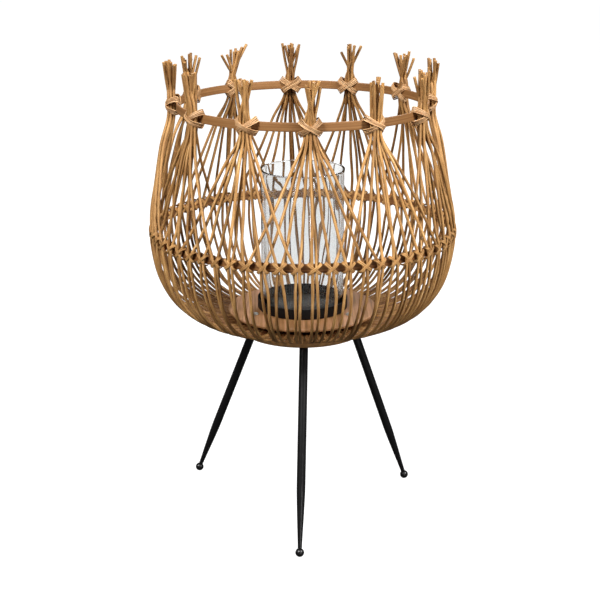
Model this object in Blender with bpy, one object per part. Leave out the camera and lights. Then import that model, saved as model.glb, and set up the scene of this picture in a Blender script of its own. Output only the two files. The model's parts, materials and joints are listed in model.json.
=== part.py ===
"""Wicker candle lantern on a steel tripod: an open basket of bent rods round a glass cylinder.

One hundred and twenty rods rise from the base rim, swell out to the belly hoop and are gathered into
twelve sheaves, each bound to the top hoop. A steel dish stands on the basket's floor and holds the
glass cylinder. Three screw-in legs carry the basket. Metres, +Z up, origin on the floor under the
middle of the lantern; the front is -Y.
"""

import math

import bmesh
import bpy
from mathutils import Matrix, Vector

GAP = 0.0003  # clearance between pieces that touch

# Basket, driving sizes
BELLY_RADIUS = 0.2075  # rod centres at the widest hoop
BELLY_HEIGHT = 0.4114
BOWL_UPRIGHT = 0.0645  # how strongly the bowl's curve holds upright under the belly
BOWL_CORNER_RADIUS = 0.183  # where it aims before it turns in to the foot
TOP_HOOP_HEIGHT = 0.5815
TOP_HOOP_RADIUS = 0.1695  # outer face
TUFT_TOP = 0.641
TUFT_LEAN = 0.005  # how far the outermost rods of a tuft lean to the side
TUFT_FLARE = 0.002  # and outwards
SHEAF_COUNT = 12
SHEAF_PHASE = math.radians(-86.0)  # azimuth of the sheaf nearest the front
BINDINGS_PER_SHEAF = 5  # bindings on the belly hoop for each sheaf, two rods in each
FAN_REACH = 4  # bindings that a sheaf's rods reach to either side

# Rods: square bars with the section area of a 4.2 mm round rod
ROD_WIDTH = 0.00372
ROD_PITCH = 0.0040  # between neighbours in a binding or a sheaf
LAYER_OFFSET = 0.0024  # how far the crossing layers stand off the mean surface
CROSSING_SWELL = 0.0014  # how far the mean surface swells between the hoops
ROD_PLAY = 0.0006  # between the inner rods and the top hoop
SPREAD_BELOW_HOOP = 0.005  # where a sheaf starts to spread, under the top hoop's edge
CORE_HEIGHT = 0.006  # of the packing inside each sheaf
CORE_WIDTH = 0.0184

# Hoops
HOOP_HEIGHT = 0.012
HOOP_THICKNESS = 0.003
BELLY_HOOP_RADIUS = 0.2040  # outer face

# Cane: the bindings of the sheaves and the lashing of the belly hoop
BINDING_HALF_WIDTH = 0.0128
BINDING_HALF_HEIGHT = 0.0088
BINDING_CANE = (0.0040, 0.0012)  # width and thickness
BINDING_CLEARANCE = 0.0019  # from the rods and the hoop to the middle of the cane
LASHING_SWING = math.radians(2.55)
LASHING_HALF_HEIGHT = 0.0078
LASHING_CANE = (0.0022, 0.0009)
LASHING_CLEARANCE = 0.0011
LOOP_OFFSET = 0.0004  # between the two loops of a binding where they cross

# Foot of the basket
RIM_RADIUS = 0.0885
RIM_SWELL = 0.0006  # how far the rim's face swells past its edges
RIM_ROUNDING = (0.0015, 0.0025)  # of the lower edge: inwards and upwards
RIM_BOTTOM = 0.2655
ROD_FOOT_HEIGHT = 0.2858  # rod centres where the rim and the clamp ring grip them
ROD_FOOT_RADIUS = 0.098
ROD_END_RADIUS = 0.0815
LEDGE_RADIUS = 0.080
CLAMP_INNER_RADIUS = 0.082
CLAMP_OUTER_RADIUS = 0.093
FLOOR_RADIUS = 0.1035
FLOOR_TOP = 0.2965
FLOOR_THICKNESS = 0.003

# Mounting plate and its bolts
PLATE_RADIUS = 0.0842
PLATE_BOTTOM = 0.2755
PLATE_THICKNESS = 0.0025
BOLT_CIRCLE = 0.074
BOLT_AZIMUTHS = tuple(math.radians(degrees) for degrees in (-31, 89, -151))  # between the legs
BOLT_RADIUS = 0.0024
BOLT_HOLE_RADIUS = 0.0028
BOLT_TIP_BELOW_PLATE = 0.0058
BOLT_HEAD_RADIUS = 0.0044
BOLT_HEAD_HEIGHT = 0.0026
NUT_HEIGHT = 0.004
NUT_RADIUS = 0.0046  # over the corners

# Legs
LEGS = {  # foot's azimuth in degrees and reach from the middle, and the socket's azimuth
    "front": (-91.3, 0.1755, -88.8),
    "right": (25.9, 0.1712, 25.9),
    "left": (146.9, 0.1880, 146.9),
}
SOCKET_CIRCLE = 0.0755
BALL_RADIUS = 0.006
BALL_CENTRE_HEIGHT = 0.0053  # leaves a small flat under the ball
TUBE_RADIUS = 0.006
TUBE_BORE = 0.0048
NECK_RADIUS = 0.0031
SPIGOT_RADIUS = 0.0016
TAPER_LENGTH = 0.085
TUBE_TOP_HEIGHT = 0.2658
SPIGOT_LENGTH = 0.009
SOCKET_RADIUS = 0.008
SOCKET_LENGTH = 0.016
STUD_RADIUS = 0.0039
PLUG_LENGTH = 0.014
STUD_PLAY = 0.0028  # from the stud's end to the mounting plate, measured upright

# Dish and glass
DISH_RADIUS = 0.0628
DISH_HEIGHT = 0.0150
SHEET = 0.0012
SEAT_RADIUS = 0.046  # raised middle of the dish, where the candle stands
SEAT_RISE = 0.0010
GLASS_RADIUS = 0.0570
GLASS_HEIGHT = 0.1960
GLASS_WALL = 0.0026
LIP_FLARE = 0.0010
LIP_HEIGHT = 0.006

BINDING_ANGLE = math.tau / (SHEAF_COUNT * BINDINGS_PER_SHEAF)


def clear_scene():
    for obj in list(bpy.data.objects):
        bpy.data.objects.remove(obj)


def make_material(name, colour, roughness, metallic=0.0):
    material = bpy.data.materials.new(name)
    material.use_nodes = True
    shader = material.node_tree.nodes["Principled BSDF"]
    shader.inputs["Base Color"].default_value = (*colour, 1.0)
    shader.inputs["Roughness"].default_value = roughness
    shader.inputs["Metallic"].default_value = metallic
    return material


def finish_object(name, bm, material, smooth=True, place=None):
    """Turns a bmesh into a named object whose faces point outwards, and puts it in its place."""
    bmesh.ops.recalc_face_normals(bm, faces=bm.faces)
    mesh = bpy.data.meshes.new(name)
    bm.to_mesh(mesh)
    bm.free()
    obj = bpy.data.objects.new(name, mesh)
    obj.data.materials.append(material)
    bpy.context.scene.collection.objects.link(obj)
    if place is not None:
        obj.matrix_world = place
    if smooth:
        mesh.shade_smooth()
        mesh.set_sharp_from_angle(angle=math.radians(35))
    return obj


def helper(obj):
    """Marks an object that only cuts or joins others."""
    obj.hide_render = True
    obj.display_type = "WIRE"
    return obj


def boolean(obj, other, operation):
    modifier = obj.modifiers.new(f"{operation.lower()}_{other.name}", "BOOLEAN")
    modifier.operation = operation
    modifier.object = other


def turned(profile, sides, closed=True):
    """A bmesh turned about Z from (radius, height) points. A profile that isn't closed ends on the axis."""
    bm = bmesh.new()
    points = [bm.verts.new((radius, 0.0, height)) for radius, height in profile]
    last = len(points) if closed else len(points) - 1
    edges = [bm.edges.new((points[i], points[(i + 1) % len(points)])) for i in range(last)]
    bmesh.ops.spin(
        bm, geom=points + edges, cent=(0, 0, 0), axis=(0, 0, 1), dvec=(0, 0, 0),
        angle=math.tau, steps=sides, use_merge=True, use_duplicate=False,
    )
    bmesh.ops.remove_doubles(bm, verts=bm.verts, dist=1e-6)
    return bm


def polar(radius, azimuth, height):
    return Vector((radius * math.cos(azimuth), radius * math.sin(azimuth), height))


def add_bar(bm, path, outward, width, thickness, cyclic=False):
    """Adds a bar of rectangular section along path. outward gives the side that thickness is measured on."""
    count = len(path)
    rings = []
    for i, point in enumerate(path):
        before = path[i - 1] if cyclic or i > 0 else point
        after = path[(i + 1) % count] if cyclic or i < count - 1 else point
        tangent = (after - before).normalized()
        normal = outward[i] - outward[i].dot(tangent) * tangent
        normal.normalize()
        side = tangent.cross(normal)
        corners = [(-1, -1), (1, -1), (1, 1), (-1, 1)]
        rings.append([
            bm.verts.new(point + side * (a * width / 2) + normal * (b * thickness / 2))
            for a, b in corners
        ])
    for i in range(count if cyclic else count - 1):
        first, second = rings[i], rings[(i + 1) % count]
        for k in range(4):
            bm.faces.new((first[k], first[(k + 1) % 4], second[(k + 1) % 4], second[k]))
    if not cyclic:
        bm.faces.new(rings[0][::-1])
        bm.faces.new(rings[-1])


# ---------------------------------------------------------------- basket rods


def bowl_point(t):
    """Radius and height of the bowl's mean line: t is 0 at the belly and 1 at the rim."""
    start = (BELLY_RADIUS, BELLY_HEIGHT)
    first = (BELLY_RADIUS, BELLY_HEIGHT - BOWL_UPRIGHT)
    second = (BOWL_CORNER_RADIUS, ROD_FOOT_HEIGHT)
    end = (ROD_FOOT_RADIUS, ROD_FOOT_HEIGHT + 2 * GAP)
    weights = ((1 - t) ** 3, 3 * t * (1 - t) ** 2, 3 * t * t * (1 - t), t**3)
    return tuple(
        sum(w * p[axis] for w, p in zip(weights, (start, first, second, end))) for axis in (0, 1)
    )


def sheaf_azimuth(sheaf):
    return SHEAF_PHASE + sheaf * math.tau / SHEAF_COUNT


def knot_radius(layer):
    """Radius of the rods' centres where a sheaf is bound to the hoop: layer is 1 outside and -1 inside."""
    inner = TOP_HOOP_RADIUS + ROD_PLAY + ROD_WIDTH / 2
    return inner + ROD_PITCH if layer > 0 else inner


def rod_path(sheaf, reach, layer):
    """Points of one rod from its tip in the tuft to its end under the floor.

    reach counts bindings from the sheaf to the rod's own binding on the belly hoop.
    """
    azimuth = sheaf_azimuth(sheaf)
    bound_radius = knot_radius(layer)
    place = layer * (abs(reach) - FAN_REACH / 2)
    bound_side = place * ROD_PITCH
    tip_side = bound_side + TUFT_LEAN * place / (FAN_REACH / 2)
    tip_radius = bound_radius + TUFT_FLARE
    spread_height = TOP_HOOP_HEIGHT - HOOP_HEIGHT / 2 - SPREAD_BELOW_HOOP
    top_angle = azimuth + bound_side / bound_radius
    points = [
        polar(tip_radius, azimuth + tip_side / tip_radius, TUFT_TOP),
        polar(bound_radius, top_angle, spread_height),
    ]
    binding = azimuth + reach * BINDING_ANGLE
    belly_angle = binding - layer * ROD_PITCH / 2 / BELLY_RADIUS
    for share in (0.40, 0.14):
        height = BELLY_HEIGHT + share * (spread_height - BELLY_HEIGHT)
        mean_radius = BELLY_RADIUS + share * (bound_radius - BELLY_RADIUS) + CROSSING_SWELL
        angle = belly_angle + share * (top_angle - belly_angle)
        points.append(polar(mean_radius + LAYER_OFFSET * layer, angle, height))
    points.append(polar(BELLY_RADIUS, belly_angle, BELLY_HEIGHT))
    foot_angle = binding - layer * BINDING_ANGLE / 4
    for t in (0.33, 0.66, 1.0):
        radius, height = bowl_point(t)
        points.append(polar(radius, foot_angle, height))
    points.append(polar(ROD_END_RADIUS, foot_angle, ROD_FOOT_HEIGHT))
    return points


def surface_normals(path):
    """Directions away from the lantern's axis and, on the bowl, downwards."""
    normals = []
    for point in path:
        outward = Vector((point.x, point.y, 0.0)).normalized()
        below = max(0.0, BELLY_HEIGHT - point.z) / (BELLY_HEIGHT - ROD_FOOT_HEIGHT)
        normals.append((outward * (1 - below) + Vector((0, 0, -1)) * below).normalized())
    return normals


def make_sheaf(index, material):
    """Ten rods and the packed core that joins them under the binding."""
    rods = bmesh.new()
    for reach in range(-FAN_REACH, FAN_REACH + 1):
        for layer in (1, -1) if reach == 0 else (int(math.copysign(1, reach)),):
            path = rod_path(index, reach, layer)
            add_bar(rods, path, surface_normals(path), ROD_WIDTH, ROD_WIDTH)
    rods_object = helper(finish_object(f"rods_of_sheaf_{index + 1:02d}", rods, material, smooth=False))

    inner, outer = knot_radius(-1), knot_radius(1)
    core = bmesh.new()
    bmesh.ops.create_cube(core, size=1.0)
    size = Matrix.Diagonal((outer - inner, CORE_WIDTH, CORE_HEIGHT, 1.0))
    bmesh.ops.transform(core, matrix=size, verts=core.verts)
    turn = Matrix.Rotation(sheaf_azimuth(index), 4, "Z")
    place = turn @ Matrix.Translation(((inner + outer) / 2, 0, TOP_HOOP_HEIGHT))
    sheaf = finish_object(f"rod_sheaf_{index + 1:02d}", core, material, smooth=False, place=place)
    boolean(sheaf, rods_object, "UNION")


# ---------------------------------------------------------------- hoops and cane bindings


def make_hoop(name, outer_radius, height, sides, material):
    inner_radius = outer_radius - HOOP_THICKNESS
    low, high = height - HOOP_HEIGHT / 2, height + HOOP_HEIGHT / 2
    profile = [(inner_radius, low), (outer_radius, low), (outer_radius, high), (inner_radius, high)]
    finish_object(name, turned(profile, sides), material)


def binding_loop(slant, proud):
    """A slanting loop of cane round a sheaf and the hoop, drawn for a sheaf at azimuth 0."""
    front = knot_radius(1) + ROD_WIDTH / 2 + BINDING_CLEARANCE + proud
    back = TOP_HOOP_RADIUS - HOOP_THICKNESS - BINDING_CLEARANCE - proud
    path, outward = [], []
    for face, side in ((1, -1), (1, 1), (-1, 1), (-1, -1)):
        angle = side * slant * BINDING_HALF_WIDTH / TOP_HOOP_RADIUS
        path.append(polar(front if face > 0 else back, angle, TOP_HOOP_HEIGHT + side * BINDING_HALF_HEIGHT))
        outward.append(Vector((face, side * slant / 2, side / 2)))
    bm = bmesh.new()
    add_bar(bm, path, outward, *BINDING_CANE, cyclic=True)
    return bm


def make_top_binding(index, material):
    """Two crossed cane loops that bind one sheaf to the top hoop."""
    place = Matrix.Rotation(sheaf_azimuth(index), 4, "Z")
    name = f"top_binding_{index + 1:02d}"
    first = finish_object(name, binding_loop(1, 0.0), material, smooth=False, place=place)
    crossing = binding_loop(-1, LOOP_OFFSET)
    second = finish_object(f"cross_loop_{index + 1:02d}", crossing, material, smooth=False, place=place)
    boolean(first, helper(second), "UNION")


def make_lashing(material):
    """One cane wound sixty times round the belly hoop, over each pair of rods."""
    front = BELLY_RADIUS + ROD_WIDTH / 2 + LASHING_CLEARANCE
    back = BELLY_HOOP_RADIUS - HOOP_THICKNESS - LASHING_CLEARANCE
    path, outward = [], []
    for turn in range(SHEAF_COUNT * BINDINGS_PER_SHEAF):
        binding = SHEAF_PHASE + turn * BINDING_ANGLE
        for face, side, angle in (
            (1, -1, binding - LASHING_SWING),
            (1, 1, binding + LASHING_SWING),
            (-1, 1, binding + LASHING_SWING),
            (-1, -1, binding - LASHING_SWING + BINDING_ANGLE),
        ):
            height = BELLY_HEIGHT + side * LASHING_HALF_HEIGHT
            path.append(polar(front if face > 0 else back, angle, height))
            outward.append(polar(face, angle, side))
    bm = bmesh.new()
    add_bar(bm, path, outward, *LASHING_CANE, cyclic=True)
    finish_object("belly_lashing", bm, material, smooth=False)


# ---------------------------------------------------------------- foot of the basket


def make_base_rim(material):
    top = ROD_FOOT_HEIGHT - ROD_WIDTH / 2 - 2 * GAP
    ledge = PLATE_BOTTOM + PLATE_THICKNESS + GAP
    recess = PLATE_RADIUS + GAP
    inwards, upwards = RIM_ROUNDING
    middle = (RIM_BOTTOM + top) / 2
    profile = [
        (LEDGE_RADIUS, ledge), (recess, ledge), (recess, RIM_BOTTOM),
        (RIM_RADIUS - inwards, RIM_BOTTOM), (RIM_RADIUS, RIM_BOTTOM + upwards),
        (RIM_RADIUS + RIM_SWELL, middle), (RIM_RADIUS, top), (LEDGE_RADIUS, top),
    ]
    finish_object("base_rim", turned(profile, 40), material)


def make_clamp_ring(material):
    """The ring under the floor that presses the rods' ends on to the rim."""
    low = ROD_FOOT_HEIGHT + ROD_WIDTH / 2 + 3 * GAP
    high = FLOOR_TOP - FLOOR_THICKNESS - GAP
    profile = [
        (CLAMP_INNER_RADIUS, low), (CLAMP_OUTER_RADIUS, low),
        (CLAMP_OUTER_RADIUS, high), (CLAMP_INNER_RADIUS, high),
    ]
    finish_object("clamp_ring", turned(profile, 36), material)


def drill_bolt_holes(obj, low, high):
    for i, azimuth in enumerate(BOLT_AZIMUTHS):
        bm = bmesh.new()
        bmesh.ops.create_cone(
            bm, segments=10, radius1=BOLT_HOLE_RADIUS, radius2=BOLT_HOLE_RADIUS,
            depth=3 * (high - low), cap_ends=True,
            matrix=Matrix.Translation(polar(BOLT_CIRCLE, azimuth, (low + high) / 2)),
        )
        drill = helper(finish_object(f"drill_{obj.name}_{i + 1}", bm, obj.data.materials[0]))
        boolean(obj, drill, "DIFFERENCE")


def make_disc(name, radius, low, high, sides, material):
    profile = [(0, low), (radius, low), (radius, high), (0, high)]
    disc = finish_object(name, turned(profile, sides, closed=False), material)
    drill_bolt_holes(disc, low, high)


def make_bolts(material):
    """Pan-head bolts that pull the mounting plate up against the floor, and their nuts."""
    tip = PLATE_BOTTOM - BOLT_TIP_BELOW_PLATE
    seat = FLOOR_TOP + GAP
    crown = seat + BOLT_HEAD_HEIGHT
    bolt = [
        (0, tip), (BOLT_RADIUS, tip), (BOLT_RADIUS, seat), (BOLT_HEAD_RADIUS, seat),
        (BOLT_HEAD_RADIUS, seat + BOLT_HEAD_HEIGHT / 2), (BOLT_HEAD_RADIUS * 0.6, crown), (0, crown),
    ]
    nut_sides = 6
    bore = (BOLT_RADIUS + GAP) / math.cos(math.pi / nut_sides)
    nut_top = PLATE_BOTTOM - GAP
    nut_bottom = nut_top - NUT_HEIGHT
    nut = [(bore, nut_bottom), (NUT_RADIUS, nut_bottom), (NUT_RADIUS, nut_top), (bore, nut_top)]
    for i, azimuth in enumerate(BOLT_AZIMUTHS):
        place = Matrix.Translation(polar(BOLT_CIRCLE, azimuth, 0.0))
        finish_object(f"floor_bolt_{i + 1}", turned(bolt, 10, closed=False), material, place=place)
        finish_object(f"bolt_nut_{i + 1}", turned(nut, nut_sides), material, smooth=False, place=place)


# ---------------------------------------------------------------- tripod


def leg_frame(side):
    """Matrix whose Z runs up the leg from the ball foot's centre, and how far up the tube ends."""
    foot_azimuth, reach, socket_azimuth = LEGS[side]
    foot = polar(reach, math.radians(foot_azimuth), BALL_CENTRE_HEIGHT)
    top = polar(SOCKET_CIRCLE, math.radians(socket_azimuth), TUBE_TOP_HEIGHT)
    turn = (top - foot).to_track_quat("Z", "Y").to_matrix().to_4x4()
    return Matrix.Translation(foot) @ turn, (top - foot).length


def make_leg_tube(side, steel):
    place, top = leg_frame(side)
    end = math.sqrt(BALL_RADIUS**2 - NECK_RADIUS**2) + 2 * GAP
    bore = SPIGOT_RADIUS + GAP
    neck_end = end + 0.006
    taper_end = end + TAPER_LENGTH
    profile = [
        (NECK_RADIUS, end), (NECK_RADIUS * 1.03, neck_end),
        (TUBE_RADIUS * 0.93, end + 0.78 * TAPER_LENGTH), (TUBE_RADIUS, taper_end),
        (TUBE_RADIUS, top), (TUBE_BORE, top),
        (TUBE_BORE, taper_end + 0.010), (bore, 2 * neck_end - end), (bore, end),
    ]
    finish_object(f"leg_tube_{side}", turned(profile, 12), steel, place=place)


def make_ball_foot(side, steel):
    """A ball with a flat underneath and a spigot that is pressed into the tube."""
    place = leg_frame(side)[0]
    flat = math.acos(BALL_CENTRE_HEIGHT / BALL_RADIUS)
    arcs = 7
    profile = [(0, -BALL_CENTRE_HEIGHT)]
    for i in range(arcs):
        angle = flat + (math.pi - flat) * i / arcs
        profile.append((BALL_RADIUS * math.sin(angle), -BALL_RADIUS * math.cos(angle)))
    profile.append((0, BALL_RADIUS))
    ball_place = Matrix.Translation(place.translation)
    foot = finish_object(f"ball_foot_{side}", turned(profile, 12, closed=False), steel, place=ball_place)
    low, high = BALL_RADIUS / 3, BALL_RADIUS + SPIGOT_LENGTH
    spigot = turned([(0, low), (SPIGOT_RADIUS, low), (SPIGOT_RADIUS, high), (0, high)], 8, closed=False)
    boolean(foot, helper(finish_object(f"spigot_{side}", spigot, steel, place=place)), "UNION")


def make_leg_stud(side, steel):
    """The threaded end that is pressed into the tube and screws into the socket."""
    place, top = leg_frame(side)
    plug_radius = TUBE_BORE - GAP
    end = top + PLATE_BOTTOM - TUBE_TOP_HEIGHT - STUD_PLAY
    profile = [
        (0, top - PLUG_LENGTH), (plug_radius, top - PLUG_LENGTH), (plug_radius, top),
        (STUD_RADIUS, top), (STUD_RADIUS, end), (0, end),
    ]
    finish_object(f"leg_stud_{side}", turned(profile, 10, closed=False), steel, place=place)


def make_leg_socket(side, steel):
    """A sleeve cut to the leg's slope and welded under the mounting plate."""
    place, top = leg_frame(side)
    sides = 12
    bore = (STUD_RADIUS + GAP) / math.cos(math.pi / sides)
    low = top + GAP
    high = low + SOCKET_LENGTH
    sleeve = turned([(bore, low), (SOCKET_RADIUS, low), (SOCKET_RADIUS, high), (bore, high)], sides)
    socket = finish_object(f"leg_socket_{side}", sleeve, steel, place=place)
    cut_size = 0.06
    cut = bmesh.new()
    bmesh.ops.create_cube(cut, size=cut_size)
    over_socket = place @ Vector((0, 0, high))
    over_socket.z = PLATE_BOTTOM - GAP + cut_size / 2
    cut_place = Matrix.Translation(over_socket)
    boolean(socket, helper(finish_object(f"plate_cut_{side}", cut, steel, place=cut_place)), "DIFFERENCE")


# ---------------------------------------------------------------- dish and glass


def make_dish(material):
    """A pressed dish with a raised seat in the middle. Returns the height of the floor round the seat."""
    low = FLOOR_TOP + GAP
    high = low + DISH_HEIGHT
    floor = low + SHEET
    profile = [
        (0, low), (DISH_RADIUS - SHEET, low), (DISH_RADIUS, floor), (DISH_RADIUS, high),
        (DISH_RADIUS - SHEET, high), (DISH_RADIUS - SHEET, floor), (SEAT_RADIUS + SEAT_RISE, floor),
        (SEAT_RADIUS, floor + SEAT_RISE), (0, floor + SEAT_RISE),
    ]
    finish_object("candle_dish", turned(profile, 40, closed=False), material)
    return floor


def make_glass(floor, material):
    """An open cylinder of glass with a flared lip."""
    low = floor + GAP
    high = low + GLASS_HEIGHT
    inner = GLASS_RADIUS - GLASS_WALL
    neck = high - LIP_HEIGHT
    profile = [
        (inner, low), (GLASS_RADIUS, low), (GLASS_RADIUS, neck), (GLASS_RADIUS + LIP_FLARE, high),
        (inner + LIP_FLARE, high), (inner, neck),
    ]
    finish_object("glass_cylinder", turned(profile, 40), material)


def main():
    clear_scene()
    rod_finish = make_material("peeled_rod", (0.50, 0.30, 0.13), 0.55)
    cane_finish = make_material("split_cane", (0.60, 0.38, 0.19), 0.50)
    hoop_finish = make_material("bamboo_strip", (0.46, 0.27, 0.13), 0.45)
    board_finish = make_material("stained_board", (0.30, 0.16, 0.09), 0.60)
    steel = make_material("black_steel", (0.016, 0.016, 0.018), 0.45, 0.6)
    zinc = make_material("zinc_plated", (0.62, 0.62, 0.60), 0.35, 0.9)
    glass = make_material("clear_glass", (0.86, 0.88, 0.88), 0.05)

    for index in range(SHEAF_COUNT):
        make_sheaf(index, rod_finish)
        make_top_binding(index, cane_finish)
    make_hoop("top_hoop", TOP_HOOP_RADIUS, TOP_HOOP_HEIGHT, 60, hoop_finish)
    make_hoop("belly_hoop", BELLY_HOOP_RADIUS, BELLY_HEIGHT, 60, hoop_finish)
    make_lashing(cane_finish)
    make_base_rim(hoop_finish)
    make_clamp_ring(hoop_finish)
    make_disc("floor_board", FLOOR_RADIUS, FLOOR_TOP - FLOOR_THICKNESS, FLOOR_TOP, 48, board_finish)
    make_disc("mounting_plate", PLATE_RADIUS, PLATE_BOTTOM, PLATE_BOTTOM + PLATE_THICKNESS, 36, steel)
    make_bolts(zinc)
    for side in LEGS:
        make_leg_tube(side, steel)
        make_ball_foot(side, steel)
        make_leg_stud(side, steel)
        make_leg_socket(side, steel)
    make_glass(make_dish(steel), glass)


main()
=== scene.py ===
"""A wicker candle lantern: a basket of peeled rods on three steel legs, with a glass cylinder in a dish."""

import json
import math
import random

import bmesh
import bpy
import numpy as np
from mathutils import Matrix, Vector, noise


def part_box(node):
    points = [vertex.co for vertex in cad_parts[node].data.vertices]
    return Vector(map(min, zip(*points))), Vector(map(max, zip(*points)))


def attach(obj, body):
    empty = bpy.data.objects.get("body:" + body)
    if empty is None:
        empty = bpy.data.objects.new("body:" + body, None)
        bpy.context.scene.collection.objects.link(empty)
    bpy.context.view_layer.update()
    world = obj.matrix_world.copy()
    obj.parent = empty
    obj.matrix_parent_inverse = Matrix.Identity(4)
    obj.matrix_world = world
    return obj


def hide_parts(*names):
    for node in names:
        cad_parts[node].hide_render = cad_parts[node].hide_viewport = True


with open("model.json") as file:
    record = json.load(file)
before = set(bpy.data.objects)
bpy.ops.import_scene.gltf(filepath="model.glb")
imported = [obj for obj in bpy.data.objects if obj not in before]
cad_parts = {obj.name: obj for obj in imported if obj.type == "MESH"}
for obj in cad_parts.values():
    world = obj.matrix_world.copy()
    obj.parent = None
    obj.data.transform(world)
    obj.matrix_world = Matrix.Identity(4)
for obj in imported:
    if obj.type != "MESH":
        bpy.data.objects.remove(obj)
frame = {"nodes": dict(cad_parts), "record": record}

bl_info = {
    "name": "Wicker Lantern",
    "version": (1, 0, 0),
    "blender": (4, 5, 0),
    "location": "View3D > Sidebar > Lantern",
    "description": "Builds a wicker candle lantern over its fitted frame",
    "category": "Object",
}

SHEAVES = 12
BINDINGS_PER_SHEAF = 5
BINDINGS = SHEAVES * BINDINGS_PER_SHEAF
SHEAF_STEP = math.tau / SHEAVES
BINDING_STEP = math.tau / BINDINGS
FIRST_SHEAF = math.radians(-86)
FAN_REACH = 4
LEG_SIDES = ("front", "right", "left")
CANES_PER_STRAP = 4
LOOP_SQUARENESS = 0.62  # how near a lashing's loop comes to a box: 1 is round and 0 is square
BALL_RADIUS = 0.006
BALL_FLAT = 0.0053  # how far the flat under a ball foot lies from the ball's middle
PLATE_GAP = 0.0002  # left between the plate and what is welded under it
STAGE_HALF = 30.0  # half of the stage's width, and the height of its walls
# How far each sheaf was tied from its even place on the top hoop, in degrees
SHEAF_DRIFT = (-1, -3, -3, 3, 2, 3, 2, 1, 0, -3, 3, 2)
# How widely the rod tips of each sheaf are splayed, as a share of the usual
SHEAF_SPLAY = (0.7, 0.6, 1.0, 1.0, 1.3, 1.0, 0.9, 2.2, 1.0, 1.0, 1.0, 1.1)


def radius_of(node):
    low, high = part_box(node)
    return (high.x - low.x) / 2


def middle_height(node):
    low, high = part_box(node)
    return (low.z + high.z) / 2


TOP_HOOP_RADIUS = radius_of("top_hoop")
TOP_HOOP_HEIGHT = middle_height("top_hoop")
HOOP_HALF_HEIGHT = (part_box("top_hoop")[1].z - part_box("top_hoop")[0].z) / 2
BELLY_HOOP_RADIUS = radius_of("belly_hoop")
BELLY_HEIGHT = middle_height("belly_hoop")
HOOP_THICKNESS = 0.003
BELLY_RADIUS = BELLY_HOOP_RADIUS + 0.0035
RIM_RADIUS = radius_of("base_rim")
RIM_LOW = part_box("base_rim")[0].z
RIM_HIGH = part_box("base_rim")[1].z
ROD_FOOT_HEIGHT = RIM_HIGH + 0.0025
ROD_FOOT_RADIUS = 0.098
ROD_END_RADIUS = 0.0815
BOARD_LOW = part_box("floor_board")[0].z
BOARD_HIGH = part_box("floor_board")[1].z
TUFT_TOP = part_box("rod_sheaf_01")[1].z

# ---------------------------------------------------------------- node trees


class Wire:
    """One output of a node, which can be used in sums."""

    def __init__(self, web, socket):
        self.web = web
        self.socket = socket

    def sum_node(self, operation, first, second):
        return self.web.node("ShaderNodeMath", {0: first, 1: second}, operation=operation)

    def __add__(self, other):
        return self.sum_node("ADD", self, other)

    def __radd__(self, other):
        return self.sum_node("ADD", other, self)

    def __sub__(self, other):
        return self.sum_node("SUBTRACT", self, other)

    def __rsub__(self, other):
        return self.sum_node("SUBTRACT", other, self)

    def __mul__(self, other):
        return self.sum_node("MULTIPLY", self, other)

    def __rmul__(self, other):
        return self.sum_node("MULTIPLY", other, self)

    def __truediv__(self, other):
        return self.sum_node("DIVIDE", self, other)

    def __pow__(self, other):
        return self.sum_node("POWER", self, other)

    def out(self, name):
        """Another output of the same node."""
        return Wire(self.web, self.socket.node.outputs[name])


class Web:
    """Adds nodes to a node tree."""

    def __init__(self, tree):
        self.tree = tree

    def node(self, kind, inputs=None, out=0, stops=None, **settings):
        made = self.tree.nodes.new(kind)
        for name, value in settings.items():
            setattr(made, name, value)
        if stops:
            ramp = made.color_ramp.elements
            while len(ramp) < len(stops):
                ramp.new(0.5)
            for element, (position, tone) in zip(ramp, stops):
                element.position = position
                element.color = tone
        for name, value in (inputs or {}).items():
            for each in value if isinstance(value, list) else [value]:
                if isinstance(each, Wire):
                    self.tree.links.new(each.socket, made.inputs[name])
                else:
                    made.inputs[name].default_value = each
        return Wire(self, made.outputs[out]) if len(made.outputs) else None

    def function(self, operation, value):
        """A function of one value, such as its cosine."""
        return self.node("ShaderNodeMath", {0: value}, operation=operation)

    def vectors(self, operation, *values, out=0):
        """A sum of vectors."""
        return self.node("ShaderNodeVectorMath", dict(enumerate(values)), out=out, operation=operation)

    def vector(self, **parts):
        return self.node("ShaderNodeCombineXYZ", parts)

    def split(self, vector):
        """A vector's parts, as the X, Y and Z outputs of one node."""
        return self.node("ShaderNodeSeparateXYZ", {0: vector})

    def ramp(self, value, *stops):
        return self.node("ShaderNodeValToRGB", {0: value}, stops=stops)

    def shape(self, kind, **inputs):
        """A Geometry node whose inputs are given by name, with _ for a space."""
        named = {name.replace("_", " "): value for name, value in inputs.items()}
        return self.node(f"GeometryNode{kind}", named)

    def store(self, geometry, name, value, domain="POINT"):
        """Keeps a value on the geometry under a name."""
        inputs = {"Geometry": geometry, "Name": name, "Value": value}
        return self.node("GeometryNodeStoreNamedAttribute", inputs, data_type="FLOAT", domain=domain)

    def shifted(self, geometry, **distance):
        return self.shape("Transform", Geometry=geometry, Translation=self.vector(**distance))

    def chance(self, low, high, seed):
        """A random vector or number for each point."""
        if isinstance(low, tuple):
            inputs = {"Min": low, "Max": high, "Seed": seed}
            return self.node("FunctionNodeRandomValue", inputs, data_type="FLOAT_VECTOR")
        return self.node("FunctionNodeRandomValue", {2: low, 3: high, "Seed": seed}, out=1, data_type="FLOAT")


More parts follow.
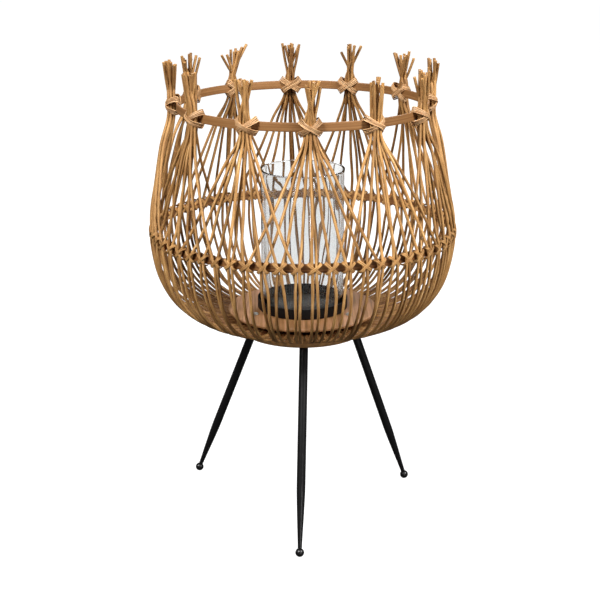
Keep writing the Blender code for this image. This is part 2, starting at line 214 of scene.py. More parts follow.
def new_tree(name, given, made, **inputs):
    """A Geometry Nodes tree with a geometry in and one out: the tree, its web and its input node."""
    tree = bpy.data.node_groups.new(name, "GeometryNodeTree")
    for socket, kind in {given: "Geometry", **inputs, "Finish": "Material"}.items():
        label = socket.replace("_", " ")
        tree.interface.new_socket(label, in_out="INPUT", socket_type=f"NodeSocket{kind}")
    tree.interface.new_socket(made, in_out="OUTPUT", socket_type="NodeSocketGeometry")
    web = Web(tree)
    return tree, web, web.node("NodeGroupInput", out=given)


def close_tree(web, geometry, given, made):
    """Ends a tree with real geometry in its finish."""
    geometry = web.node("GeometryNodeRealizeInstances", {"Geometry": geometry})
    geometry = web.node("GeometryNodeSetMaterial", {"Geometry": geometry, "Material": given.out("Finish")})
    web.node("NodeGroupOutput", {made: geometry})


def colour(red, green, blue):
    """A screen colour, 0 to 255, as the linear colour that shaders use."""
    shares = [part / 255 for part in (red, green, blue)]
    linear = [share / 12.92 if share <= 0.04 else ((share + 0.055) / 1.055) ** 2.4 for share in shares]
    return (*linear, 1.0)


BLACK, WHITE = (0, 0, 0, 1), (1, 1, 1, 1)


# ---------------------------------------------------------------- meshes


class Skin:
    """Gathers strips of faces into one mesh, with a shade and how far round and along each point lies."""

    def __init__(self):
        self.points = []
        self.faces = []
        self.uvs = []
        self.shades = []

    def loft(self, rings, closed=False, capped=True, shade=0.5):
        """Joins closed rings of points, given as an array of ring, point and coordinate."""
        rings = np.asarray(rings, float)
        count, sides, _ = rings.shape
        first = len(self.points)
        self.points.extend(map(tuple, rings.reshape(-1, 3)))
        self.shades.extend([shade] * (count * sides))
        middle = rings.mean(axis=1)
        steps = np.linalg.norm(np.diff(np.vstack([middle, middle[:1]]), axis=0), axis=1)
        along = np.concatenate([[0.0], np.cumsum(steps)])
        for i in range(count if closed else count - 1):
            here = first + i * sides
            there = first + (i + 1) % count * sides
            for k in range(sides):
                j = (k + 1) % sides
                self.faces.append((here + k, here + j, there + j, there + k))
                self.uvs.extend((
                    (k / sides, along[i]), ((k + 1) / sides, along[i]),
                    ((k + 1) / sides, along[i + 1]), (k / sides, along[i + 1]),
                ))
        if capped and not closed:
            self.faces.append(tuple(range(first + sides - 1, first - 1, -1)))
            last = first + (count - 1) * sides
            self.faces.append(tuple(range(last, last + sides)))
            self.uvs.extend([(0.5, 0.0)] * sides + [(0.5, along[count - 1])] * sides)

    def make(self, name, material, sharp=40):
        mesh = bpy.data.meshes.new(name)
        mesh.from_pydata(self.points, [], self.faces)
        layer = mesh.uv_layers.new(name="strand")
        layer.data.foreach_set("uv", np.asarray(self.uvs, np.float32).ravel())
        shades = mesh.attributes.new("shade", "FLOAT", "POINT")
        shades.data.foreach_set("value", np.asarray(self.shades, np.float32))
        return finish_mesh(name, mesh, material, sharp)


def lofted(name, rings, material, sharp=40, closed=True, shade=0.5):
    """A piece made of one strip of rings."""
    skin = Skin()
    skin.loft(rings, closed=closed, shade=shade)
    return skin.make(name, material, sharp)


def finish_mesh(name, mesh, material, sharp=40):
    """Makes an object of a mesh, with outward faces and creases where it turns sharply."""
    bm = bmesh.new()
    bm.from_mesh(mesh)
    bmesh.ops.remove_doubles(bm, verts=bm.verts, dist=1e-6)
    loose = [edge for edge in bm.edges if not edge.link_faces]
    bmesh.ops.delete(bm, geom=loose, context="EDGES")
    bmesh.ops.recalc_face_normals(bm, faces=bm.faces)
    bm.to_mesh(mesh)
    bm.free()
    mesh.shade_smooth()
    mesh.set_sharp_from_angle(angle=math.radians(sharp))
    mesh.materials.clear()
    mesh.materials.append(material)
    obj = bpy.data.objects.new(name, mesh)
    bpy.context.scene.collection.objects.link(obj)
    return obj


def add_strand_map(mesh):
    """Makes the strand UV map of a swept mesh from how far round and along its points lie."""
    corners = np.empty(len(mesh.loops), np.int32)
    mesh.loops.foreach_get("vertex_index", corners)
    starts = np.empty(len(mesh.polygons), np.int32)
    mesh.polygons.foreach_get("loop_start", starts)
    sizes = np.diff(np.append(starts, len(corners)))
    uvs = np.empty((len(corners), 2), np.float32)
    for column, (label, scale, widest) in enumerate((("round", math.tau, 0.5), ("along", 1.0, 0.012))):
        values = np.empty(len(mesh.vertices), np.float32)
        mesh.attributes[label].data.foreach_get("value", values)
        here = values[corners] / scale
        top = np.repeat(np.maximum.reduceat(here, starts), sizes)
        wrapped = (top - here > widest) & (np.repeat(sizes, sizes) == 4)
        step = 1.0 - top if column == 0 else 0.001
        uvs[:, column] = np.where(wrapped, top + step, here)
    mesh.uv_layers.new(name="strand").data.foreach_set("uv", uvs.ravel())


def baked(obj, material, sharp=40):
    """Turns an object with a Geometry Nodes modifier into a plain mesh object of the same name."""
    bpy.context.view_layer.update()
    graph = bpy.context.evaluated_depsgraph_get()
    mesh = bpy.data.meshes.new_from_object(obj.evaluated_get(graph))
    name = obj.name
    bpy.data.objects.remove(obj)
    if not mesh.polygons:
        raise RuntimeError(f"{name} came out empty")
    if "along" in mesh.attributes:
        add_strand_map(mesh)
    return finish_mesh(name, mesh, material, sharp)


def stand_for(obj, body, finish_slot, *nodes):
    """Lets a finished piece ride on a body in place of its plain nodes."""
    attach(obj, body)
    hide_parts(*nodes)
    return obj


def knot_azimuth(sheaf):
    """Where a sheaf is tied to the top hoop."""
    return FIRST_SHEAF + sheaf * SHEAF_STEP + math.radians(SHEAF_DRIFT[sheaf])


def polar(radius, azimuth, height):
    return (radius * math.cos(azimuth), radius * math.sin(azimuth), height)


def smooth_spans(knots, step):
    """A smooth line through points, read about every step: one array for each span between two points.

    Columns after the first three are carried along with the place.
    """
    p = np.asarray(knots, float)
    gaps = np.linalg.norm(np.diff(p[:, :3], axis=0), axis=1)
    slopes = np.diff(p, axis=0) / gaps[:, None]
    tangents = np.empty_like(p)
    tangents[0], tangents[-1] = slopes[0], slopes[-1]
    before, after = gaps[:-1, None], gaps[1:, None]
    tangents[1:-1] = (slopes[:-1] * after + slopes[1:] * before) / (before + after)
    spans = []
    for i, gap in enumerate(gaps):
        count = max(1, round(gap / step))
        t = (np.arange(count) / count)[:, None]
        spans.append(
            p[i] * (2 * t**3 - 3 * t**2 + 1) + p[i + 1] * (3 * t**2 - 2 * t**3)
            + tangents[i] * gap * (t**3 - 2 * t**2 + t) + tangents[i + 1] * gap * (t**3 - t**2)
        )
    return spans


def smooth_path(knots, step):
    """A smooth line from the first point to the last."""
    return np.vstack([*smooth_spans(knots, step), np.asarray(knots[-1:], float)])


def smooth_loop(knots, step):
    """A smooth line that closes on itself."""
    p = np.asarray(knots, float)
    return np.vstack(smooth_spans(np.vstack([p[-1:], p, p[:2]]), step)[1:len(p) + 1])


def directions(path, closed=False):
    if closed:
        along = np.roll(path, -1, axis=0) - np.roll(path, 1, axis=0)
    else:
        along = np.gradient(path, axis=0)
    return along / np.linalg.norm(along, axis=1, keepdims=True)


def section_rings(path, outward, width, thickness, sides, closed=False, squareness=1.0):
    """Rings of a rounded flat section along a path. outward gives the side that thickness is measured on."""
    along = directions(path, closed)
    normal = outward - (outward * along).sum(axis=1, keepdims=True) * along
    normal /= np.linalg.norm(normal, axis=1, keepdims=True)
    side = np.cross(along, normal)
    turn = np.arange(sides) / sides * math.tau
    across = np.sign(np.cos(turn)) * np.abs(np.cos(turn)) ** squareness
    up = np.sign(np.sin(turn)) * np.abs(np.sin(turn)) ** squareness
    width = np.broadcast_to(np.asarray(width, float), (len(path),))[:, None, None]
    thickness = np.broadcast_to(np.asarray(thickness, float), (len(path),))[:, None, None]
    return (
        path[:, None, :] + side[:, None, :] * across[None, :, None] * width / 2
        + normal[:, None, :] * up[None, :, None] * thickness / 2
    )


def turned_rings(profile, sides):
    """Rings about Z for a profile of (radius, height) points that closes on itself."""
    rings = []
    for i in range(sides):
        azimuth = math.tau * i / sides
        rings.append([polar(radius, azimuth, height) for radius, height in profile])
    return rings


def rounded(profile, radius, steps=3):
    """A closed profile with its corners rounded off, apart from those on the axis."""
    out = []
    count = len(profile)
    for i, corner in enumerate(profile):
        corner = Vector(corner)
        if corner.x == 0.0:
            out.append(tuple(corner))
            continue
        before = Vector(profile[i - 1]) - corner
        after = Vector(profile[(i + 1) % count]) - corner
        cut = min(radius, before.length * 0.45, after.length * 0.45)
        start = corner + before.normalized() * cut
        end = corner + after.normalized() * cut
        for k in range(steps + 1):
            t = k / steps
            out.append(tuple(start * (1 - t) ** 2 + corner * 2 * t * (1 - t) + end * t * t))
    return out


# ---------------------------------------------------------------- finishes


def new_material(name, **constants):
    """A material with one Principled shader: its web of nodes and the shader node."""
    material = bpy.data.materials.new(name)
    material.use_nodes = True
    tree = material.node_tree
    shader = tree.nodes["Principled BSDF"]
    for key, value in constants.items():
        shader.inputs[key.replace("_", " ")].default_value = value
    return material, Web(tree), shader


def link(web, wire, shader, name):
    web.tree.links.new(wire.socket, shader.inputs[name])


def mix_colours(web, factor, first, second, blend="MIX"):
    """A mix of two colours, given as colours or wires."""
    inputs = {0: factor, 6: first, 7: second}
    return web.node("ShaderNodeMix", inputs, out=2, data_type="RGBA", blend_type=blend)


def darker(tone, share):
    return (*(part * share for part in tone[:3]), 1.0)


def noise_on(web, vector, scale, detail=3.0, roughness=0.55):
    inputs = {"Vector": vector, "Scale": scale, "Detail": detail, "Roughness": roughness}
    return web.node("ShaderNodeTexNoise", inputs)


def add_relief(web, shader, height, strength, distance):
    relief = web.node("ShaderNodeBump", {"Height": height, "Strength": strength, "Distance": distance})
    link(web, relief, shader, "Normal")


def stretched_place(web, *scale):
    place = web.node("ShaderNodeTexCoord", out="Object")
    return web.node("ShaderNodeMapping", {"Vector": place, "Scale": scale})


def strand_vector(web, fine, along):
    """Coordinates that run along a strand and close on themselves round it."""
    uv = web.split(web.node("ShaderNodeUVMap", uv_map="strand"))
    turn = uv.out("X") * math.tau
    shade = web.node("ShaderNodeAttribute", out="Fac", attribute_name="shade")
    x = web.function("COSINE", turn) * fine + shade * 37.0
    y = web.function("SINE", turn) * fine + shade * 91.0
    return web.vector(X=x, Y=y, Z=uv.out("Y") * along), shade


# Streaks of each wood, the lantern's setting for its mean colour, and how its fibres run
WOODS = {
    "peeled_rod": {
        "mean": "rod_colour", "dark": (112, 68, 32), "light": (238, 198, 140),
        "fine": 2.6, "along": 42.0, "bump": 0.55, "roughness": 0.62, "stain": 0.35,
    },
    "split_cane": {
        "mean": "cane_colour", "dark": (140, 94, 58), "light": (236, 204, 160),
        "fine": 1.6, "along": 90.0, "bump": 0.4, "roughness": 0.55, "stain": 0.25,
    },
    "bamboo_strip": {
        "mean": "strip_colour", "dark": (136, 92, 52), "light": (190, 142, 94),
        "fine": 9.0, "along": 5.0, "bump": 0.3, "roughness": 0.58, "stain": 0.25,
    },
    "smoked_strip": {
        "mean": "smoked_colour", "dark": (74, 44, 20), "light": (158, 110, 64),
        "fine": 9.0, "along": 5.0, "bump": 0.3, "roughness": 0.6, "stain": 0.35,
    },
}


def wood_material(name, mean, dark, light, fine, along, bump, roughness, stain):
    """Peeled or split wood whose fibres follow the strand."""
    material, web, shader = new_material(name, Roughness=roughness, Specular_IOR_Level=0.35)
    vector, shade = strand_vector(web, fine, along)
    fibre = noise_on(web, vector, 1.0, detail=4.0, roughness=0.6)
    dark = colour(*dark)
    middle = tuple(getattr(bpy.context.scene.lantern_finishes, mean))
    streaks = web.ramp(fibre, (0.32, dark), (0.51, middle), (0.70, colour(*light)))
    place = web.node("ShaderNodeTexCoord", out="Object")
    weathered = web.ramp(noise_on(web, place, 38.0), (0.36, WHITE), (0.70, BLACK))
    specks = web.ramp(noise_on(web, place, 160.0, detail=2.0), (0.66, BLACK), (0.74, WHITE))
    tone = mix_colours(web, stain * weathered, streaks, dark)
    tone = mix_colours(web, 0.35 * specks, tone, dark)
    # The shade attribute scales the colour: it holds each strand's own random tone, painted shade on the rods
    # and painted light on the rim
    shading = web.node("ShaderNodeCombineColor", {
        "Red": 0.72 + 0.56 * shade, "Green": 0.68 + 0.62 * shade, "Blue": 0.63 + 0.68 * shade,
    })
    link(web, mix_colours(web, 1.0, tone, shading, blend="MULTIPLY"), shader, "Base Color")
    add_relief(web, shader, fibre, bump, 0.0004)
    return material


def board_material(name):
    """A thin stained board with its grain running across the lantern."""
    material, web, shader = new_material(name, Roughness=0.6, Specular_IOR_Level=0.35)
    grain = noise_on(web, stretched_place(web, 260.0, 9.0, 120.0), 1.0, detail=4.0)
    base = tuple(bpy.context.scene.lantern_finishes.board_colour)
    tone = web.ramp(grain, (0.30, darker(base, 0.45)), (0.50, base), (0.72, colour(190, 142, 108)))
    link(web, tone, shader, "Base Color")
    add_relief(web, shader, grain, 0.35, 0.0003)
    return material


def lacquer_material(name, gloss, roughness, bump):
    """Black lacquer over steel, with a slight orange peel."""
    material, web, shader = new_material(name, Specular_IOR_Level=gloss)
    place = web.node("ShaderNodeTexCoord", out="Object")
    peel = noise_on(web, place, 900.0, detail=2.0)
    dust = noise_on(web, place, 60.0)
    black = tuple(bpy.context.scene.lantern_finishes.steel_colour)
    link(web, mix_colours(web, dust * 0.5, black, colour(24, 23, 23)), shader, "Base Color")
    link(web, roughness + 0.12 * dust, shader, "Roughness")
    add_relief(web, shader, peel, bump, 0.0002)
    return material


def steel_material(name):
    """The satin lacquer of the legs and the plate."""
    return lacquer_material(name, gloss=0.6, roughness=0.24, bump=0.12)


def dish_material(name):
    """The duller lacquer of the dish."""
    return lacquer_material(name, gloss=0.16, roughness=0.42, bump=0.02)


def zinc_material(name):
    """Bright zinc plating with a faint mottle."""
    material, web, shader = new_material(name, Metallic=1.0)
    mottle = noise_on(web, web.node("ShaderNodeTexCoord", out="Object"), 420.0)
    link(web, mix_colours(web, mottle, colour(150, 148, 142), colour(206, 205, 200)), shader, "Base Color")
    link(web, 0.25 + 0.25 * mottle, shader, "Roughness")
    return material


def glass_material(name):
    """Clear glass with a slight grey body."""
    material, web, shader = new_material(name, Transmission_Weight=1.0, IOR=1.46, Roughness=0.0)
    flow = noise_on(web, stretched_place(web, 18.0, 18.0, 5.0), 1.0, detail=1.0)
    tint = tuple(bpy.context.scene.lantern_finishes.glass_colour)
    link(web, mix_colours(web, flow, tint, darker(tint, 0.97)), shader, "Base Color")
    return material


OTHER_FINISHES = {
    "stained_board": board_material,
    "black_steel": steel_material,
    "dish_lacquer": dish_material,
    "zinc_plate": zinc_material,
    "clear_glass": glass_material,
}


def finish_named(name):
    """The finish of that name, made when it is first asked for."""
    for material in bpy.data.materials:
        if material.get("lantern_finish") == name:
            return material
    made = wood_material(name, **WOODS[name]) if name in WOODS else OTHER_FINISHES[name](name)
    made["lantern_finish"] = name
    return made


# ---------------------------------------------------------------- settings


def length_setting(name, metres, description):
    return bpy.props.FloatProperty(name=name, description=description, default=metres, unit="LENGTH")


def colour_setting(name, tone, description):
    return bpy.props.FloatVectorProperty(
        name=name, description=description, default=tone, size=4, subtype="COLOR",
    )


class LanternRods(bpy.types.PropertyGroup):
    """Sizes of the basket's rods."""

    diameter: length_setting("Rod diameter", 0.0040, "Mean thickness of a peeled rod")
    layer_offset: length_setting(
        "Layer offset", 0.0024, "How far crossing rods stand off the mean surface",
    )
    unevenness: bpy.props.FloatProperty(
        name="Unevenness", description="How irregular the hand work is", default=1.0, min=0.0, max=2.0,
    )
    sides: bpy.props.IntProperty(name="Sides", description="Faces round each rod", default=10, min=6, max=24)


class LanternBindings(bpy.types.PropertyGroup):
    """Sizes of the cane that binds the basket."""

    cane_width: length_setting("Cane width", 0.0021, "Width of one cane of a top binding")
    half_width: length_setting("Half width", 0.0128, "Half of a top binding's width on the hoop")
    half_height: length_setting("Half height", 0.0088, "Half of a top binding's height on the hoop")
    lashing_cane: length_setting("Lashing cane", 0.0040, "Width of the cane that lashes the belly hoop")
    lashing_half_height: length_setting(
        "Lashing half height", 0.0068, "Half of a belly lashing's height",
    )
    lashing_swing: length_setting("Lashing swing", 0.0076, "How far a lashing leans to each side")


class LanternFinishes(bpy.types.PropertyGroup):
    """Colours of the lantern's parts."""

    rod_colour: colour_setting("Rods", colour(192, 143, 82), "Mean colour of the peeled rods")
    cane_colour: colour_setting("Cane", colour(206, 162, 114), "Mean colour of the binding cane")
    strip_colour: colour_setting("Strips", colour(164, 118, 70), "Mean colour of the top hoop, rim and clamp")
    smoked_colour: colour_setting("Smoked strips", colour(122, 80, 42), "Mean colour of the belly hoop")
    board_colour: colour_setting("Board", colour(156, 110, 66), "Mean colour of the floor board")
    steel_colour: colour_setting("Steel", colour(14, 13, 14), "Colour of the black lacquer")
    glass_colour: colour_setting("Glass", (0.82, 0.83, 0.83, 1.0), "Tint of the glass")


class LanternStage(bpy.types.PropertyGroup):
    """Light and floor round the lantern."""

    key_power: bpy.props.FloatProperty(
        name="Key light", description="Power of the key light", default=94.0, unit="POWER",
    )
    sky_strength: bpy.props.FloatProperty(
        name="Surroundings", description="Strength of the even light all round", default=0.06, min=0.0,
    )
    floor_glow: bpy.props.FloatProperty(
        name="Floor glow", description="How white the floor looks by itself", default=1.0, min=0.0,
    )


# ---------------------------------------------------------------- basket rods


def bowl_point(t):
    """Radius and height of the bowl's mean line: t is 0 at the belly and 1 at the rim."""
    line = (
        (BELLY_RADIUS, BELLY_HEIGHT),
        (BELLY_RADIUS, BELLY_HEIGHT - 0.0645),
        (0.183, ROD_FOOT_HEIGHT),
        (ROD_FOOT_RADIUS, ROD_FOOT_HEIGHT + 0.0006),
    )
    weights = ((1 - t) ** 3, 3 * t * (1 - t) ** 2, 3 * t * t * (1 - t), t**3)
    return tuple(sum(w * p[axis] for w, p in zip(weights, line)) for axis in (0, 1))


# Where each rod sits in the bundle under the binding: (reach, layer) to (row, place across in pitches)
BUNDLE = {
    (-4, -1): (0, -1.5), (-3, -1): (-1, -1.0), (-2, -1): (1, -1.0), (-1, -1): (0, -0.5), (0, -1): (-1, 0.0),
    (0, 1): (1, 0.0), (1, 1): (0, 0.5), (2, 1): (-1, 1.0), (3, 1): (1, 1.0), (4, 1): (0, 1.5),
}


def rod_knots(sheaf, reach, layer, rods, chance):
    """Points that one rod passes through, from its tip to its end under the floor."""
    azimuth = knot_azimuth(sheaf)
    pitch = rods.diameter + 0.0001
    rough = rods.unevenness

    def stray(size):
        return chance.uniform(-size, size) * rough

    row, place = BUNDLE[reach, layer]
    bound_radius = TOP_HOOP_RADIUS + 0.0006 + pitch * (0.5 + 0.87 * (row + 1))
    bound_side = place * pitch
    lean = chance.uniform(0.006, 0.022) * chance.choice((-1, -1, -1, 0.7)) * SHEAF_SPLAY[sheaf]
    tip_side = reach / FAN_REACH * lean + bound_side * 0.5 + stray(0.004)
    tip_height = TUFT_TOP - 0.001 - 0.012 * rough * chance.random() ** 1.5
    tip_radius = bound_radius + row * 0.0020 + stray(0.0035)
    waist_side = bound_side * 0.9 + stray(0.001)
    waist_height = TOP_HOOP_HEIGHT + HOOP_HALF_HEIGHT + 0.004
    half_side = (waist_side + tip_side) / 2
    half_radius = (bound_radius + tip_radius) / 2
    half_height = (waist_height + tip_height) / 2
    points = [
        polar(tip_radius, azimuth + tip_side / tip_radius, tip_height),
        polar(half_radius, azimuth + half_side / half_radius, half_height),
        polar(bound_radius, azimuth + waist_side / bound_radius, waist_height),
        polar(bound_radius, azimuth + bound_side / bound_radius, TOP_HOOP_HEIGHT),
    ]
    low_edge = TOP_HOOP_HEIGHT - HOOP_HALF_HEIGHT - 0.001
    points.append(polar(bound_radius, azimuth + bound_side / bound_radius, low_edge))
    binding = FIRST_SHEAF + sheaf * SHEAF_STEP + reach * BINDING_STEP
    belly_angle = binding - layer * BINDING_STEP * 0.13 + stray(0.0005) / BELLY_RADIUS
    top_angle = azimuth + bound_side / bound_radius
    for share in (0.72, 0.40, 0.14):
        height = BELLY_HEIGHT + share * (low_edge - BELLY_HEIGHT)
        swell = 0.0014 * math.sin(math.pi * share)
        radius = BELLY_RADIUS + share * (bound_radius - BELLY_RADIUS) + swell
        shift = stray(0.0011) / radius
        angle = belly_angle + share * (top_angle - belly_angle) + shift
        points.append(polar(radius + rods.layer_offset * layer + stray(0.0003), angle, height))
    points.append(polar(BELLY_RADIUS, belly_angle, BELLY_HEIGHT))
    foot_angle = binding - layer * BINDING_STEP * 0.20
    sway = stray(math.radians(1.5))
    for t in (0.18, 0.36, 0.54, 0.72, 0.88, 1.0):
        radius, height = bowl_point(t)
        drift = sway * math.sin(math.pi * t) + stray(math.radians(0.3))
        angle = belly_angle + (foot_angle - belly_angle) * min(1.0, t / 0.18) + drift
        points.append(polar(radius, angle, height + stray(0.0009) * (1 - t)))
    points.append(polar((ROD_FOOT_RADIUS + ROD_END_RADIUS) / 2, foot_angle, ROD_FOOT_HEIGHT + 0.0016))
    points.append(polar(ROD_END_RADIUS, foot_angle, ROD_FOOT_HEIGHT + 0.0036))
    return points


def paint_inner_shade(web, rods, darkness):
    """Paints shade on each rod, fully on the side that faces the middle of the basket and half on its flanks,
    most of all in the bowl.
    """
    middle = (0.0, 0.0, BELLY_HEIGHT + 0.03)
    place = web.node("GeometryNodeInputPosition")
    away = web.vectors("NORMALIZE", web.vectors("SUBTRACT", place, middle))
    facing = web.vectors("DOT_PRODUCT", web.node("GeometryNodeInputNormal"), away, out="Value")
    inside = web.node("ShaderNodeMapRange", {"Value": facing, "From Min": 0.7, "From Max": -0.7})
    depth = web.node("ShaderNodeMapRange", {
        "Value": web.split(place).out("Z"), "From Min": BELLY_HEIGHT + 0.02, "From Max": TOP_HOOP_HEIGHT,
        "To Min": 1.0, "To Max": 0.6,
    })
    shade = web.node("GeometryNodeInputNamedAttribute", {"Name": "shade"}, data_type="FLOAT")
    return web.store(rods, "shade", shade - darkness * inside * depth)


def sweep_tree():
    """Geometry Nodes that turn loose lines into round rods of their own girth."""
    tree, web, given = new_tree(
        "round_rods", "Lines", "Rods", Sides="Int", Knobbliness="Float", Inner_darkness="Float",
    )
    lines = web.shape("MeshToCurve", Mesh=given)
    girth = web.node("GeometryNodeInputNamedAttribute", {"Name": "girth"}, data_type="FLOAT")
    place = web.node("GeometryNodeInputPosition")
    grown = web.node("ShaderNodeTexNoise", {"Vector": place, "Scale": 45.0, "Detail": 1.0})
    radius = girth * (1.0 + given.out("Knobbliness") * (grown - 0.5))
    lines = web.store(lines, "along", web.node("GeometryNodeSplineParameter", out="Length"))
    ring = web.shape("CurvePrimitiveCircle", Resolution=given.out("Sides"), Radius=1.0)
    ring = web.store(ring, "round", web.node("GeometryNodeSplineParameter", out="Factor") * math.tau)
    rods = web.shape("CurveToMesh", Curve=lines, Profile_Curve=ring, Scale=radius, Fill_Caps=True)
    # The rods get painted shade on their inner sides and flanks
    close_tree(web, paint_inner_shade(web, rods, given.out("Inner darkness")), given, "Rods")
    return tree


def set_inputs(modifier, **values):
    """Sets a Geometry Nodes modifier's inputs by their names in the tree."""
    identifiers = {
        item.name.replace(" ", "_"): item.identifier
        for item in modifier.node_group.interface.items_tree
        if item.item_type == "SOCKET" and item.in_out == "INPUT"
    }
    for name, value in values.items():
        modifier[identifiers[name]] = value


def grow(name, mesh, tree, material, sharp=40, **values):
    """A baked object that a Geometry Nodes tree makes from a mesh."""
    obj = bpy.data.objects.new(name, mesh)
    bpy.context.scene.collection.objects.link(obj)
    modifier = obj.modifiers.new(tree.name, "NODES")
    modifier.node_group = tree
    set_inputs(modifier, Finish=material, **values)
    return baked(obj, material, sharp)


def make_sheaf(index, rods, material, tree):
    """Ten rods of one sheaf, as lines that Geometry Nodes make round."""
    chance = random.Random(4100 + index)
    points, edges, girths, shades = [], [], [], []
    for reach, layer in BUNDLE:
        path = smooth_path(rod_knots(index, reach, layer, rods, chance), 0.006)
        first = len(points)
        points.extend(map(tuple, path))
        edges.extend((i, i + 1) for i in range(first, first + len(path) - 1))
        girth = rods.diameter / 2 * chance.uniform(0.94, 1.04)
        taper = np.linspace(1.0, 0.97, len(path))
        girths.extend(girth * taper)
        shade = min(1.0, max(0.0, chance.gauss(0.5, 0.25)))
        # Painted shade: each rod is darkened where it runs in towards the foot and on its tuft above the top
        # hoop; the rest is lifted by 0.1
        painted_foot_shade = np.clip((0.15 - np.hypot(path[:, 0], path[:, 1])) / 0.06, 0.0, 1.0)
        painted_tuft_shade = np.clip((path[:, 2] - TOP_HOOP_HEIGHT) / 0.01, 0.0, 1.0)
        shades.extend(shade + 0.1 - 0.3 * painted_foot_shade - 0.15 * painted_tuft_shade)
    name = f"rods_{index + 1:02d}"
    mesh = bpy.data.meshes.new(name)
    mesh.from_pydata(points, edges, [])
    for label, values in (("girth", girths), ("shade", shades)):
        attribute = mesh.attributes.new(label, "FLOAT", "POINT")
        attribute.data.foreach_set("value", np.asarray(values, np.float32))
    piece = grow(name, mesh, tree, material, Sides=rods.sides, Knobbliness=0.16, Inner_darkness=0.9)
    stand_for(piece, "basket", "peeled_rod", f"rod_sheaf_{index + 1:02d}")


class LANTERN_OT_rods(bpy.types.Operator):
    """Make the twelve sheaves of rods that form the basket"""

    bl_idname = "lantern.rods"
    bl_label = "Rods"

    def execute(self, context):
        rods = context.scene.lantern_rods
        material = finish_named("peeled_rod")
        tree = sweep_tree()
        for index in range(SHEAVES):
            make_sheaf(index, rods, material, tree)
        return {"FINISHED"}


# ---------------------------------------------------------------- bindings and hoops


def make_top_binding(index, bindings, material):
    """Two crossed straps of split cane that bind one sheaf to the top hoop."""
    chance = random.Random(700 + index)
    wide, high = bindings.half_width, bindings.half_height
    turn = Matrix.Rotation(knot_azimuth(index), 3, "Z")
    skin = Skin()
    for slant in (1, -1):
        over = 0.0009 if slant < 0 else 0.0
        skew = chance.uniform(-0.0008, 0.0008)
        for cane in range(CANES_PER_STRAP):
            offset = cane - (CANES_PER_STRAP - 1) / 2
            loop = (
                # across, up, off the hoop's face, how far the canes fan out here
                (0.0, 0.0, 0.0128 + over, 0.62), (0.0062, 0.0036, 0.0113 + over, 0.74),
                (0.0106, 0.0070, 0.0062, 0.92), (wide, high, 0.0014, 1.06),
                (wide * 0.99, high * 0.99, -0.0026, 1.06), (wide * 0.8, high * 0.72, -0.0044, 1.0),
                (0.0, 0.0, -0.0046 - over, 0.9), (-wide * 0.8, -high * 0.72, -0.0044, 1.0),
                (-wide * 0.99, -high * 0.99, -0.0026, 1.06), (-wide, -high, 0.0014, 1.06),
                (-0.0106, -0.0070, 0.0062, 0.92), (-0.0062, -0.0036, 0.0113 + over, 0.74),
            )
            path, outward = [], []
            length = math.hypot(wide, high)
            lift = chance.uniform(-0.0002, 0.0003)
            for across, up, off, fan in loop:
                shift = offset * bindings.cane_width * fan + chance.uniform(-0.00015, 0.00015)
                x = slant * (across - shift * high / length) + skew
                z = up + shift * wide / length
                radius = TOP_HOOP_RADIUS + off + (lift if off > 0 else -lift)
                path.append(turn @ Vector(polar(radius, x / TOP_HOOP_RADIUS, TOP_HOOP_HEIGHT + z)))
                face = Vector((1.0 if off > 0 else -1.0, slant * across * 40, up * 60))
                outward.append(turn @ face.normalized())
            width, tone = bindings.cane_width * 0.80, chance.gauss(0.4, 0.35)
            add_cane_loop(skin, path, outward, width, 0.0018, tone)
    piece = skin.make(f"binding_{index + 1:02d}", material)
    stand_for(piece, "basket", "split_cane", f"top_binding_{index + 1:02d}")


def add_cane_loop(skin, path, outward, width, thickness, shade):
    """Adds a closed loop of flat cane to a skin."""
    line = smooth_loop(np.hstack([path, outward]), 0.0018)
    rings = section_rings(line[:, :3], line[:, 3:], width, thickness, 8, closed=True, squareness=0.75)
    skin.loft(rings, closed=True, shade=shade)


class LANTERN_OT_top_bindings(bpy.types.Operator):
    """Make the twelve crossed cane bindings on the top hoop"""

    bl_idname = "lantern.top_bindings"
    bl_label = "Top bindings"

    def execute(self, context):
        material = finish_named("split_cane")
        for index in range(SHEAVES):
            make_top_binding(index, context.scene.lantern_bindings, material)
        return {"FINISHED"}


def lashing_tree():
    """Geometry Nodes that set crossed loops of cane round a hoop."""
    tree, web, given = new_tree(
        "belly_lashing", "Geometry", "Lashing", Count="Int", First_azimuth="Float", Hoop_radius="Float",
        Height="Float", Half_depth="Float", Half_height="Float", Swing="Float", Cane_width="Float",
        Cane_thickness="Float", Seed="Int",
    )
    strands = [lashing_strand(web, given, slant, strand) for slant in (1, -1) for strand in (-0.5, 0.5)]
    knot = web.shape("JoinGeometry", Geometry=strands[::-1])
    circle = web.shape("MeshCircle", Vertices=given.out("Count"), Radius=1.0)
    azimuth = given.out("First azimuth") + web.node("GeometryNodeInputIndex") * math.tau / given.out("Count")
    radius, seed = given.out("Hoop radius"), given.out("Seed")
    x = web.function("COSINE", azimuth) * radius
    y = web.function("SINE", azimuth) * radius
    circle = web.shape("SetPosition", Geometry=circle, Position=web.vector(X=x, Y=y, Z=given.out("Height")))
    wobble = web.chance((-0.07, -0.03, -0.03), (0.07, 0.03, 0.03), seed)
    size = web.chance((0.97, 0.88, 0.92), (1.03, 1.12, 1.06), seed + 7)
    turn = web.vectors("ADD", web.vector(Z=azimuth), wobble)
    lashing = web.shape("InstanceOnPoints", Points=circle, Instance=knot, Rotation=turn, Scale=size)
    lashing = web.store(lashing, "shade", web.chance(0.3, 0.75, seed + 3), domain="INSTANCE")
    close_tree(web, lashing, given, "Lashing")
    return tree


